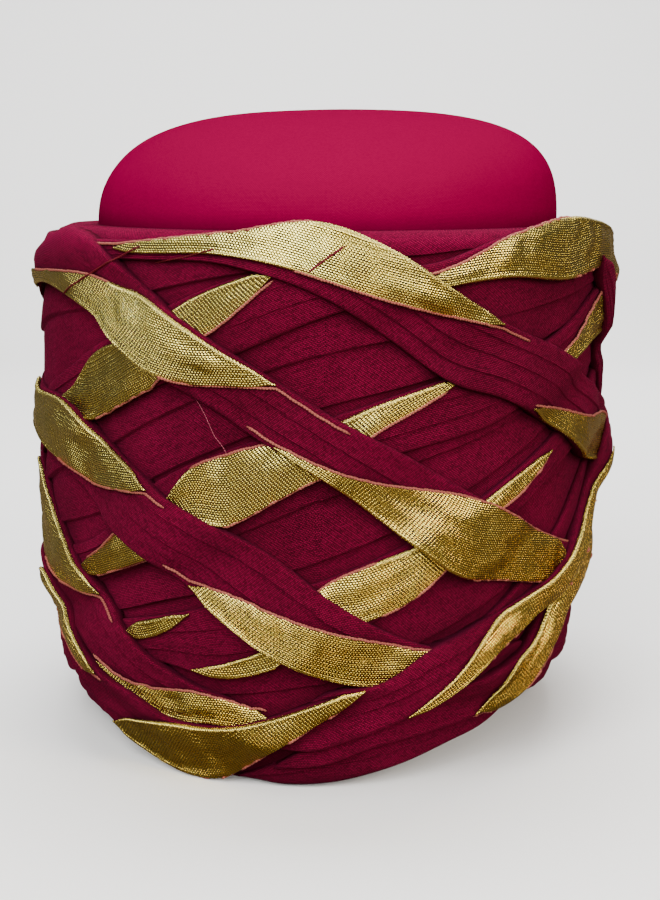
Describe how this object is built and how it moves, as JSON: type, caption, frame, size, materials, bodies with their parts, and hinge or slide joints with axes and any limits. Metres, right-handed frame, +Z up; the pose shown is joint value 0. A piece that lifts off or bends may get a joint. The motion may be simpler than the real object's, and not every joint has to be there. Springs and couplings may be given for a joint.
{
  "type": "tied turban",
  "caption": "Ready-tied turban: a domed cloth cap in a thick maroon winding, crossed by folded strips that turn over to show gold tape.",
  "frame": {"origin": "on the surface it stands on, at the middle of the whole turban's outline", "axes": "+Z up through the crown, -Y towards the front, +X towards the viewer's right as seen from the front"},
  "size_m": [0.2338, 0.2655, 0.241],
  "materials": {
    "maroon_cotton": "matt plain-weave cotton, folded and pleated",
    "crimson_cotton": "matt plain-weave cotton, stretched smooth",
    "gold_tape": "woven metallic gold tape with a pink-copper selvedge"
  },
  "bodies": {
    "root": {"crown_cap": "crimson_cotton", "falling_wrap_0": "maroon_cotton", "falling_wrap_1": "maroon_cotton", "falling_wrap_2": "maroon_cotton", "falling_wrap_3": "maroon_cotton", "falling_wrap_4": "maroon_cotton", "falling_wrap_5": "maroon_cotton", "gold_falling_0": "gold_tape", "gold_falling_1": "gold_tape", "gold_falling_1_back": "gold_tape", "gold_falling_1_right": "gold_tape", "gold_falling_2": "gold_tape", "gold_falling_2_back": "gold_tape", "gold_falling_2_top": "gold_tape", "gold_falling_3": "gold_tape", "gold_falling_3_back": "gold_tape", "gold_falling_3_left": "gold_tape", "gold_falling_4": "gold_tape", "gold_falling_4_back": "gold_tape", "gold_falling_4_left": "gold_tape", "gold_falling_5": "gold_tape", "gold_falling_5_left": "gold_tape", "gold_rising_1": "gold_tape", "gold_rising_1_back": "gold_tape", "gold_rising_1_right": "gold_tape", "gold_rising_2": "gold_tape", "gold_rising_2_back": "gold_tape", "gold_rising_2_right": "gold_tape", "gold_rising_3": "gold_tape", "gold_rising_3_back": "gold_tape", "gold_rising_3_left": "gold_tape", "gold_rising_4": "gold_tape", "gold_sweeping_1": "gold_tape", "gold_sweeping_1_back": "gold_tape", "gold_sweeping_2": "gold_tape", "gold_sweeping_3": "gold_tape", "rising_wrap_1": "maroon_cotton", "rising_wrap_2": "maroon_cotton", "rising_wrap_3": "maroon_cotton", "rising_wrap_4": "maroon_cotton", "sweeping_wrap_1": "maroon_cotton", "sweeping_wrap_2": "maroon_cotton", "sweeping_wrap_3": "maroon_cotton", "wound_core": "maroon_cotton"}
  },
  "joints": []
}
